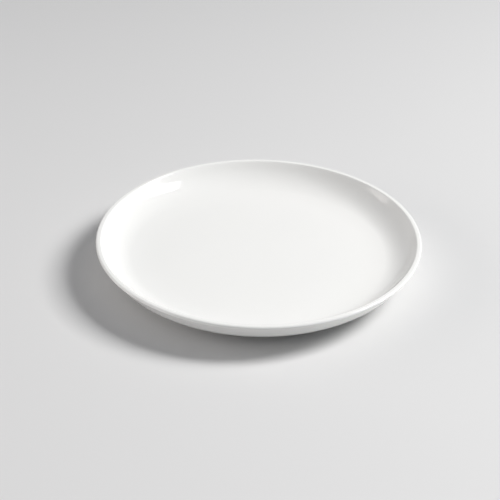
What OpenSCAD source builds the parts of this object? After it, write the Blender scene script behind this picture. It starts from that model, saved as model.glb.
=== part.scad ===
// Coupe dinner plate in white glazed porcelain.
// A flat well turns up through a shallow dish and a tighter bend into a straight wall with a rounded lip.
// The clay is coated with glass glaze all over, except on the wiped standing edge of its foot ring.

/* [Plate] */
// Diameter over the lip
plate_d = 270; // [240:1:300]
// Height from the table to the top of the lip
plate_h = 30; // [28:0.5:34]
// Thickness of the wall under the lip
wall_t = 4.4; // [3.6:0.1:5.2]
// Thickness of the well
well_t = 6.4; // [5.4:0.1:7.4]

/* [Well and wall] */
// Radius of the shallow dish round the flat well, and of the underside below it
dish_r = 120; // [80:5:140]
// Slope at which the dish gives way to the bend, in degrees
dish_angle = 8; // [4:1:10]
// Radius of the bend that turns the dish up into the wall
bend_r = 34; // [28:1:38]
// Radius of the same bend on the underside
back_bend_r = 29; // [24:1:32]
// Slope of the straight wall under the lip, in degrees
wall_angle = 53; // [44:1:58]
// Radius on both edges of the lip
lip_r = 1.6; // [0.8:0.1:2.2]

/* [Foot ring] */
// Distance from the edge of the flat underside in to the root of the foot
foot_inset = 3; // [1:0.5:20]
// Height of the foot below the underside
foot_h = 5.4; // [4:0.1:6.4]
// Width of the flat standing edge
foot_land = 2.2; // [1:0.1:4]
// Slope of the foot's sides from upright, in degrees
foot_draft = 22; // [10:1:35]
// Radius of the hollow where the foot runs into the underside
foot_root_r = 2.4; // [0.8:0.1:3]
// Radius on both sides of the standing edge
foot_toe_r = 0.6; // [0.3:0.1:0.8]

/* [Glaze] */
// Thickness of the fired glaze
glaze_t = 0.25; // [0.15:0.05:0.4]
// Height above the table to which the foot is wiped clean of glaze
wipe_h = 0.9; // [0.6:0.1:1.2]

/* [Hidden] */
$fn = 192;

// Largest gap between a curve of the section and the straight steps that draw it
step_gap = 0.01;
// A round takes up at most this share of the thickness or height that carries it
lip_limit_share = 0.48;
bend_limit_share = 0.96;
root_limit_share = 0.9;

function heading(angle) = [cos(angle), sin(angle)];
function reversed(points) = [for (i = [len(points) - 1:-1:0]) points[i]];
function step_count(r, sweep) = ceil(abs(sweep) / (2 * acos(1 - step_gap / r)));

// Points of an arc about c that is drawn at radius r + grow; first = 1 leaves out its start
function arc(c, r, grow, from, to, first = 0) =
    let (steps = step_count(r, to - from))
    [for (i = [first:steps]) c + (r + grow) * heading(from + (to - from) * i / steps)];

// Lip: two round edges with a narrow land between them, square to the axis
lip_edge_r = min(lip_r, lip_limit_share * wall_t);
lip_land = (wall_t - 2 * lip_edge_r) / sin(wall_angle);
lip_outer_c = [plate_d / 2 - lip_edge_r, plate_h - lip_edge_r];
lip_inner_c = lip_outer_c - [lip_land, 0];

// Wall: both sides run straight down from the lip, with the same slope
wall_normal = heading(wall_angle - 90);
wall_top = lip_inner_c - lip_edge_r * wall_normal;
back_top = lip_outer_c + lip_edge_r * wall_normal;

// Bend below a wall that starts at top, and dish below it, each with the slope of the one above it at the join
function bend_room(top, floor_z) = top[1] - floor_z - dish_r * (1 - cos(dish_angle));
function bend_limit(top, floor_z) =
    bend_limit_share * bend_room(top, floor_z) / (cos(dish_angle) - cos(wall_angle));
function bend_mid(top, floor_z, r) =
    let (z = floor_z + dish_r - (dish_r - r) * cos(dish_angle))
    [top[0] - (top[1] - z + r * cos(wall_angle)) / tan(wall_angle) - r * sin(wall_angle), z];
function dish_mid(mid, r) = mid - (dish_r - r) * heading(dish_angle - 90);

// Face
well_z = foot_h + well_t;
face_bend_r = min(bend_r, bend_limit(wall_top, well_z));
face_bend_c = bend_mid(wall_top, well_z, face_bend_r);
face_dish_c = dish_mid(face_bend_c, face_bend_r);

// Underside
under_bend_r = min(back_bend_r, bend_limit(back_top, foot_h));
under_bend_c = bend_mid(back_top, foot_h, under_bend_r);
under_dish_c = dish_mid(under_bend_c, under_bend_r);

// Foot: centres of its hollow root and of its round toe, and the radius of the ring that it stands on
root_r = min(foot_root_r, root_limit_share * (foot_h - wipe_h) / (1 - sin(foot_draft)));
root_c = [under_dish_c[0] - foot_inset, foot_h - root_r];
side_gap = foot_toe_r + glaze_t + root_r + (root_c[1] - foot_toe_r) * sin(foot_draft);
toe_c = [root_c[0] - side_gap / cos(foot_draft), foot_toe_r];
foot_mid_r = toe_c[0] - foot_land / 2;

// The same point on the other side of the foot ring
function across(p) = [2 * foot_mid_r - p[0], p[1]];

// Hollow root on the outer side of the foot, at a depth below the glazed surface
function root_line(depth) = arc(root_c, root_r, depth, 90, 180 - foot_draft);

// Point on the outer side of the foot at the wipe line
function wipe_point(depth) =
    let (start = toe_c + (foot_toe_r + glaze_t - depth) * heading(-foot_draft))
    start + (wipe_h - start[1]) * [tan(foot_draft), 1];

// Face, lip, back and outer foot, from the middle of the well, at a depth below the glazed surface
function face_line(depth) = concat(
    [[0, well_z - depth]],
    arc(face_dish_c, dish_r, depth, -90, dish_angle - 90),
    arc(face_bend_c, face_bend_r, depth, dish_angle - 90, wall_angle - 90, 1),
    arc(lip_inner_c, lip_edge_r, -depth, wall_angle + 90, 90),
    arc(lip_outer_c, lip_edge_r, -depth, 90, wall_angle - 90),
    arc(under_bend_c, under_bend_r, -depth, wall_angle - 90, dish_angle - 90),
    arc(under_dish_c, dish_r, -depth, dish_angle - 90, -90, 1),
    root_line(depth)
);

// Hollow inside the foot, from the middle of the base, at a depth below the glazed surface
function base_line(depth) = concat(
    [[0, foot_h + depth]],
    [for (p = root_line(depth)) across(p)]
);

// Bare standing edge, from the outer side of the foot to its inner side
function standing_line() =
    let (toe = arc(toe_c, foot_toe_r, 0, -foot_draft, -90))
    concat(toe, [for (p = reversed(toe)) across(p)]);

// Fired clay, bare only on the standing edge of the foot
module porcelain_body() {
    color("linen") rotate_extrude()
        polygon(concat(face_line(glaze_t), standing_line(), reversed(base_line(glaze_t))));
}

// Glaze over the well, wall, lip and back, down the outer side of the foot to the wipe line
module face_glaze() {
    edge = [wipe_point(0), wipe_point(glaze_t)];
    color("white") rotate_extrude()
        polygon(concat(face_line(0), edge, reversed(face_line(glaze_t))));
}

// Glaze in the hollow inside the foot ring, down to the wipe line
module base_glaze() {
    edge = [across(wipe_point(0)), across(wipe_point(glaze_t))];
    color("white") rotate_extrude()
        polygon(concat(base_line(0), edge, reversed(base_line(glaze_t))));
}

porcelain_body();
face_glaze();
base_glaze();
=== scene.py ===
"""Coupe dinner plate in white glazed porcelain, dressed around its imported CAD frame."""
import math

import bpy
from mathutils import Matrix, Vector


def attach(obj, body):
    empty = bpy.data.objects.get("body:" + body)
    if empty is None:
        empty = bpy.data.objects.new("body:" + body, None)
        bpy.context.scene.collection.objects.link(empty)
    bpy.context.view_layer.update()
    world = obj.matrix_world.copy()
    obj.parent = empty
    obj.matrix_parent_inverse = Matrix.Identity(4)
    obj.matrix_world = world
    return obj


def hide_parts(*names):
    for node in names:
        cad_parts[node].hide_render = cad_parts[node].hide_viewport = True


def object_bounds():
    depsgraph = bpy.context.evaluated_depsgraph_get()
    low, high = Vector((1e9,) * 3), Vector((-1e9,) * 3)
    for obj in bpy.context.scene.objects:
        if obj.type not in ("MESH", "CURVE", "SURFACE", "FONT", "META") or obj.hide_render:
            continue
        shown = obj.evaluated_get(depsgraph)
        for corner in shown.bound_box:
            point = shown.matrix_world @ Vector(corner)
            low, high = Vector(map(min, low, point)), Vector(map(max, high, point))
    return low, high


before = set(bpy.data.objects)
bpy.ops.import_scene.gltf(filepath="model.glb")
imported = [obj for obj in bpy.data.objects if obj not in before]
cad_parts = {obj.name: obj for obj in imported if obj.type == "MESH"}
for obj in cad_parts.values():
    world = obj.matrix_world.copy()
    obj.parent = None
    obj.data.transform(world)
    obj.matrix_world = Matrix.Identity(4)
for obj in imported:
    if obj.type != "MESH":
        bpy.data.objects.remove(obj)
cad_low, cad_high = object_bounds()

MM = 0.001

# Sizes of the plate in millimetres and slopes in degrees, as in the CAD part.
# The box of the frame gives its width and height.
PLATE_D = (cad_high.x - cad_low.x) / MM
PLATE_H = (cad_high.z - cad_low.z) / MM
WALL_T = 4.4
WELL_T = 6.4
DISH_R = 120
DISH_ANGLE = 8
BEND_R = 34
BACK_BEND_R = 29
WALL_ANGLE = 53
LIP_R = 1.6
FOOT_INSET = 3
FOOT_H = 5.4
FOOT_LAND = 2.2
FOOT_DRAFT = 22
FOOT_ROOT_R = 2.4
FOOT_TOE_R = 0.6
GLAZE_T = 0.25
WIPE_H = 0.9

# Steps of the turned meshes: round the axis, along an arc and along the glaze's edge in degrees,
# and across a flat in millimetres
TURN_STEPS = 216
ARC_STEP = 3
EDGE_STEP = 15
FLAT_STEP = 9
# A point of the section that is nearer to the axis than this, in millimetres, lies on it
AXIS_GAP = 1e-6
# Edges that turn by more than this, in degrees, are shaded as sharp
SHARP_ANGLE = 35

# Glaze: the two tones that it drifts between, its range of roughness, the size of the drift
# and of the ripple in millimetres, and how deep, also in millimetres, and strong the ripple is
GLAZE_TONES = ("#F5F5F3", "#F3F3F1")
GLAZE_ROUGHNESS = (0.08, 0.11)
GLAZE_DRIFT = 60
GLAZE_RIPPLE = 9
RIPPLE_DEPTH = 0.02
RIPPLE_STRENGTH = 0.15
# Bare clay: its two tones, its roughness, and the size, depth and strength of its grain in the same way
CLAY_TONES = ("#E9E4DA", "#DCD5C8")
CLAY_ROUGHNESS = 0.75
CLAY_GRAIN = 0.8
GRAIN_DEPTH = 0.06
GRAIN_STRENGTH = 0.4
# Index of refraction of glaze and of fired porcelain
CERAMIC_IOR = 1.5
# Paper under the plate, with the side of the sheet in metres
PAPER_TONE = "#E2E2E2"
PAPER_ROUGHNESS = 0.9
FLOOR_SIDE = 3

# Sockets of the Mix node when it mixes colours
MIX_A = 6
MIX_B = 7
MIX_RESULT = 2

# The photograph: its side in pixels, where the middle of the lip lies in it, the camera's angle of view,
# how far in millimetres and how high in degrees the camera stands from there, and how much it leans
PHOTO_SIDE = 500
LIP_MIDDLE_PX = (258.9, 235.0)
CAMERA_VIEW = 20
CAMERA_DISTANCE = 1179
CAMERA_HEIGHT_ANGLE = 30.97
CAMERA_ROLL = 1.0

# Lamps: heading from +X towards +Y and elevation in degrees, distance, width and height in metres,
# power in watts, the point of the floor that the lamp faces, and its colour if it isn't white
KEY_LAMP = (7, 44.5, 2.7, 0.95, 1.15, 86.7, (-0.8, -1.9), "#FFFEFD")
LEFT_LAMP = (187, 16.5, 1.8, 1.8, 1, 14.2, (0, 0), "#FFF9F5")
TOP_LAMP = (0, 85, 1.8, 1.6, 1.6, 2.7, (0, 0))
# The room: its colour as cool, dim light on matte surfaces, and as the backdrop that the camera and gloss see
FILL_COLOUR = "#53575C"
BACKDROP_COLOUR = "#FFFFFF"


def linear(hex_colour):
    """An sRGB hex colour as linear RGBA."""
    parts = [int(hex_colour[i:i + 2], 16) / 255 for i in (1, 3, 5)]
    return [c / 12.92 if c <= 0.04045 else ((c + 0.055) / 1.055) ** 2.4 for c in parts] + [1]


def add_node(tree, kind, settings=None, inputs=None):
    """Adds a node with its settings; an input is a plain value or another node's output."""
    made = tree.nodes.new(kind)
    for name, value in (settings or {}).items():
        setattr(made, name, value)
    for socket, value in (inputs or {}).items():
        if isinstance(value, bpy.types.NodeSocket):
            tree.links.new(value, made.inputs[socket])
        else:
            made.inputs[socket].default_value = value
    return made


# Half section of the plate, as (radius, height) in millimetres

def heading(angle):
    """The unit vector at an angle in degrees."""
    return Vector((math.cos(math.radians(angle)), math.sin(math.radians(angle))))


def arc(centre, radius, start, end):
    """Points of an arc between two angles, both ends included."""
    steps = max(2, math.ceil(abs(end - start) / ARC_STEP))
    return [centre + radius * heading(start + (end - start) * i / steps) for i in range(steps + 1)]


def flat(start, end):
    """Points across a flat from start up to, and without, end."""
    steps = max(1, round((end - start).length / FLAT_STEP))
    return [start.lerp(end, i / steps) for i in range(steps)]


lip_land = (WALL_T - 2 * LIP_R) / math.sin(math.radians(WALL_ANGLE))
lip_outer_c = Vector((PLATE_D / 2 - LIP_R, PLATE_H - LIP_R))
lip_inner_c = lip_outer_c - Vector((lip_land, 0))
wall_normal = heading(WALL_ANGLE - 90)
wall_top = lip_inner_c - LIP_R * wall_normal
back_top = lip_outer_c + LIP_R * wall_normal


def bend_and_dish(top, floor_z, bend_r):
    """Middles of the bend and of the dish that join a wall below this top to a floor at this height."""
    bend_z = floor_z + DISH_R - (DISH_R - bend_r) * math.cos(math.radians(DISH_ANGLE))
    wall_fall = top.y - bend_z + bend_r * math.cos(math.radians(WALL_ANGLE))
    wall_len = wall_fall / math.sin(math.radians(WALL_ANGLE))
    bend = top - wall_len * heading(WALL_ANGLE) - bend_r * wall_normal
    return bend, bend - (DISH_R - bend_r) * heading(DISH_ANGLE - 90)


well_z = FOOT_H + WELL_T
bend_c, dish_c = bend_and_dish(wall_top, well_z, BEND_R)
back_bend_c, back_dish_c = bend_and_dish(back_top, FOOT_H, BACK_BEND_R)
root_c = Vector((back_dish_c.x - FOOT_INSET, FOOT_H - FOOT_ROOT_R))
draft_sin = math.sin(math.radians(FOOT_DRAFT))
draft_cos = math.cos(math.radians(FOOT_DRAFT))
side_gap = FOOT_TOE_R + GLAZE_T + FOOT_ROOT_R + (root_c.y - FOOT_TOE_R) * draft_sin
toe_c = Vector((root_c.x - side_gap / draft_cos, FOOT_TOE_R))
foot_mid_r = toe_c.x - FOOT_LAND / 2


def across(points):
    """The same points on the other side of the foot ring."""
    return [Vector((2 * foot_mid_r - p.x, p.y)) for p in points]


def root_line(depth):
    """Hollow root on the outer side of the foot, at a depth below the glazed surface."""
    return arc(root_c, FOOT_ROOT_R + depth, 90, 180 - FOOT_DRAFT)


def glaze_edge():
    """Round lower edge of the glaze on the outer foot, from its surface in to the clay at the wipe line."""
    toe_end = toe_c + FOOT_TOE_R * heading(-FOOT_DRAFT)
    wiped = toe_end + (WIPE_H - toe_end.y) * Vector((draft_sin / draft_cos, 1))
    middle = wiped - GLAZE_T * heading(-FOOT_DRAFT - 90)
    return [middle + GLAZE_T * heading(-FOOT_DRAFT - turn) for turn in range(0, 91, EDGE_STEP)]


def face_line(depth):
    """Face, lip, back and outer foot, from the axis, at a depth below the glazed surface."""
    dish = arc(dish_c, DISH_R + depth, -90, DISH_ANGLE - 90)
    bend = arc(bend_c, BEND_R + depth, DISH_ANGLE - 90, WALL_ANGLE - 90)
    lip_in = arc(lip_inner_c, LIP_R - depth, WALL_ANGLE + 90, 90)
    lip_out = arc(lip_outer_c, LIP_R - depth, 90, WALL_ANGLE - 90)
    back_bend = arc(back_bend_c, BACK_BEND_R - depth, WALL_ANGLE - 90, DISH_ANGLE - 90)
    back_dish = arc(back_dish_c, DISH_R - depth, DISH_ANGLE - 90, -90)
    well = flat(Vector((0, well_z - depth)), dish[0])
    wall = flat(bend[-1], lip_in[0])
    back_wall = flat(lip_out[-1], back_bend[0])
    return (well + dish[:-1] + bend[:-1] + wall + lip_in + lip_out[:-1] + back_wall
            + back_bend[:-1] + back_dish + root_line(depth))


def base_line(depth):
    """Hollow inside the foot, from the axis, at a depth below the glazed surface."""
    root = across(root_line(depth))
    return flat(Vector((0, FOOT_H + depth)), root[0]) + root


def standing_line():
    """Bare standing edge, from the outer side of the foot to its inner side."""
    toe = arc(toe_c, FOOT_TOE_R, -FOOT_DRAFT, -90)
    return toe + across(toe[::-1])


def turned(name, outline, material):
    """A closed solid of revolution from a half section that starts and ends on the axis."""
    points = []
    rows = []
    for p in outline:
        if p.x < AXIS_GAP:
            rows.append([len(points)])
            points.append((0, 0, p.y * MM))
            continue
        rows.append(list(range(len(points), len(points) + TURN_STEPS)))
        for i in range(TURN_STEPS):
            turn = heading(360 * i / TURN_STEPS) * p.x * MM
            points.append((turn.x, turn.y, p.y * MM))
    faces = []
    for low, high in zip(rows, rows[1:]):
        for i in range(TURN_STEPS):
            j = (i + 1) % TURN_STEPS
            if len(low) == 1:
                faces.append((low[0], high[i], high[j]))
            elif len(high) == 1:
                faces.append((low[i], high[0], low[j]))
            else:
                faces.append((low[i], high[i], high[j], low[j]))
    mesh = bpy.data.meshes.new(name)
    mesh.from_pydata(points, [], faces)
    mesh.validate()
    mesh.shade_smooth()
    mesh.set_sharp_from_angle(angle=math.radians(SHARP_ANGLE))
    mesh.materials.append(material)
    piece = bpy.data.objects.new(name, mesh)
    bpy.context.scene.collection.objects.link(piece)
    return piece


def new_material(name):
    """An empty material with nodes."""
    material = bpy.data.materials.new(name)
    material.use_nodes = True
    material.node_tree.nodes.clear()
    return material


def white_glaze():
    """Clear glass glaze fired over white porcelain: glossy, with a slow drift of tone and a faint ripple."""
    material = new_material("white_glazed_porcelain")
    tree = material.node_tree
    place = add_node(tree, "ShaderNodeTexCoord").outputs["Object"]
    drift = add_node(tree, "ShaderNodeTexNoise",
                     inputs={"Vector": place, "Scale": 1 / (GLAZE_DRIFT * MM), "Detail": 1})
    tone = add_node(tree, "ShaderNodeMix", {"data_type": "RGBA"},
                    {"Factor": drift.outputs["Fac"],
                     MIX_A: linear(GLAZE_TONES[0]), MIX_B: linear(GLAZE_TONES[1])})
    ripple = add_node(tree, "ShaderNodeTexNoise",
                      inputs={"Vector": place, "Scale": 1 / (GLAZE_RIPPLE * MM), "Detail": 1})
    bump = add_node(tree, "ShaderNodeBump",
                    inputs={"Height": ripple.outputs["Fac"], "Strength": RIPPLE_STRENGTH,
                            "Distance": RIPPLE_DEPTH * MM})
    gloss = add_node(tree, "ShaderNodeMapRange",
                     inputs={"Value": drift.outputs["Fac"],
                             "To Min": GLAZE_ROUGHNESS[0], "To Max": GLAZE_ROUGHNESS[1]})
    shader = add_node(tree, "ShaderNodeBsdfPrincipled",
                      inputs={"Base Color": tone.outputs[MIX_RESULT], "Roughness": gloss.outputs["Result"],
                              "IOR": CERAMIC_IOR, "Normal": bump.outputs["Normal"]})
    add_node(tree, "ShaderNodeOutputMaterial", inputs={"Surface": shader.outputs["BSDF"]})
    return material


def bare_porcelain():
    """Fired clay wiped clean of glaze: dry, a little warm, with the grain of the clay."""
    material = new_material("bare_fired_porcelain")
    tree = material.node_tree
    place = add_node(tree, "ShaderNodeTexCoord").outputs["Object"]
    grain = add_node(tree, "ShaderNodeTexNoise",
                     inputs={"Vector": place, "Scale": 1 / (CLAY_GRAIN * MM), "Detail": 3})
    tone = add_node(tree, "ShaderNodeMix", {"data_type": "RGBA"},
                    {"Factor": grain.outputs["Fac"],
                     MIX_A: linear(CLAY_TONES[0]), MIX_B: linear(CLAY_TONES[1])})
    bump = add_node(tree, "ShaderNodeBump",
                    inputs={"Height": grain.outputs["Fac"], "Strength": GRAIN_STRENGTH,
                            "Distance": GRAIN_DEPTH * MM})
    shader = add_node(tree, "ShaderNodeBsdfPrincipled",
                      inputs={"Base Color": tone.outputs[MIX_RESULT], "Roughness": CLAY_ROUGHNESS,
                              "IOR": CERAMIC_IOR, "Normal": bump.outputs["Normal"]})
    add_node(tree, "ShaderNodeOutputMaterial", inputs={"Surface": shader.outputs["BSDF"]})
    return material


def sweep_paper():
    """Matte grey-white paper under the plate."""
    material = new_material("pale_sweep_paper")
    tree = material.node_tree
    shader = add_node(tree, "ShaderNodeBsdfPrincipled",
                      inputs={"Base Color": linear(PAPER_TONE), "Roughness": PAPER_ROUGHNESS,
                              "Specular IOR Level": 0})
    add_node(tree, "ShaderNodeOutputMaterial", inputs={"Surface": shader.outputs["BSDF"]})
    return material


# The plate; each outline starts and ends on the axis, and runs so that the faces of its solid point outward
glaze = white_glaze()
face_ring = face_line(0) + glaze_edge() + face_line(GLAZE_T)[::-1]
base_ring = base_line(GLAZE_T) + across(glaze_edge()[::-1]) + base_line(0)[::-1]
clay_ring = face_line(GLAZE_T) + standing_line() + base_line(GLAZE_T)[::-1]
for name, outline, material, cad_node, slot in (
    ("clay_body", clay_ring, bare_porcelain(), "porcelain_body", "bare_porcelain"),
    ("glazed_face", face_ring, glaze, "face_glaze", "white_glaze"),
    ("glazed_base", base_ring, glaze, "base_glaze", "white_glaze"),
):
    piece = turned(name, outline, material)
    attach(piece, "root")
    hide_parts(cad_node)

# The floor
corner = FLOOR_SIDE / 2
floor_corners = [(-corner, -corner, 0), (corner, -corner, 0), (corner, corner, 0), (-corner, corner, 0)]
floor_mesh = bpy.data.meshes.new("floor")
floor_mesh.from_pydata(floor_corners, [], [(0, 1, 2, 3)])
floor_mesh.materials.append(sweep_paper())
floor = bpy.data.objects.new("floor", floor_mesh)
bpy.context.scene.collection.objects.link(floor)


# The lamps
def direction(turn, elevation):
    """The unit vector at a heading from +X towards +Y and an elevation, in degrees."""
    flat_part = heading(turn) * math.cos(math.radians(elevation))
    return Vector((flat_part.x, flat_part.y, math.sin(math.radians(elevation))))


def softbox(name, turn, elevation, distance, width, height, power, aim, colour="#FFFFFF"):
    """A rectangular lamp that stands round the plate and faces a point on the floor."""
    lamp = bpy.data.lights.new(name, "AREA")
    lamp.shape = "RECTANGLE"
    lamp.size = width
    lamp.size_y = height
    lamp.energy = power
    lamp.color = linear(colour)[:3]
    holder = bpy.data.objects.new(name, lamp)
    holder.location = direction(turn, elevation) * distance
    away = holder.location - Vector((aim[0], aim[1], 0))
    holder.rotation_euler = away.to_track_quat("Z", "Y").to_euler()
    bpy.context.scene.collection.objects.link(holder)


softbox("key_softbox", *KEY_LAMP)
softbox("left_reflector", *LEFT_LAMP)
softbox("top_softbox", *TOP_LAMP)

# The room
world = bpy.data.worlds.new("soft_room")
bpy.context.scene.world = world
world.use_nodes = True
world_tree = world.node_tree
world_tree.nodes.clear()
rays = add_node(world_tree, "ShaderNodeLightPath")
mirrored = add_node(world_tree, "ShaderNodeMath", {"operation": "MAXIMUM"},
                    {0: rays.outputs["Is Glossy Ray"], 1: rays.outputs["Is Transmission Ray"]})
seen = add_node(world_tree, "ShaderNodeMath", {"operation": "MAXIMUM"},
                {0: rays.outputs["Is Camera Ray"], 1: mirrored.outputs[0]})
room_colour = add_node(world_tree, "ShaderNodeMix", {"data_type": "RGBA"},
                       {"Factor": seen.outputs[0],
                        MIX_A: linear(FILL_COLOUR), MIX_B: linear(BACKDROP_COLOUR)})
room = add_node(world_tree, "ShaderNodeBackground",
                inputs={"Color": room_colour.outputs[MIX_RESULT], "Strength": 1})
add_node(world_tree, "ShaderNodeOutputWorld", inputs={"Surface": room.outputs["Background"]})

# The camera: it looks past the middle of the lip by as many pixels as the photograph is framed off it
camera_data = bpy.data.cameras.new("camera")
camera_data.sensor_fit = "HORIZONTAL"
camera_data.angle = math.radians(CAMERA_VIEW)
camera = bpy.data.objects.new("camera", camera_data)
bpy.context.scene.collection.objects.link(camera)
bpy.context.scene.camera = camera
lip_middle = Vector((0, 0, PLATE_H * MM))
towards_camera = direction(-90, CAMERA_HEIGHT_ANGLE)
right = Vector((1, 0, 0))
up = towards_camera.cross(right)
roll = math.radians(CAMERA_ROLL)
picture_right = math.cos(roll) * right + math.sin(roll) * up
picture_up = math.cos(roll) * up - math.sin(roll) * right
focal_px = PHOTO_SIDE / 2 / math.tan(math.radians(CAMERA_VIEW) / 2)
off_right = PHOTO_SIDE / 2 - LIP_MIDDLE_PX[0]
off_down = PHOTO_SIDE / 2 - LIP_MIDDLE_PX[1]
look = -towards_camera * focal_px + picture_right * off_right - picture_up * off_down
back = -look.normalized()
side = picture_up.cross(back).normalized()
top = back.cross(side)
stand = lip_middle + towards_camera * CAMERA_DISTANCE * MM
camera.matrix_world = Matrix((
    (side.x, top.x, back.x, stand.x),
    (side.y, top.y, back.y, stand.y),
    (side.z, top.z, back.z, stand.z),
    (0, 0, 0, 1),
))

bpy.context.scene.view_settings.view_transform = "Standard"
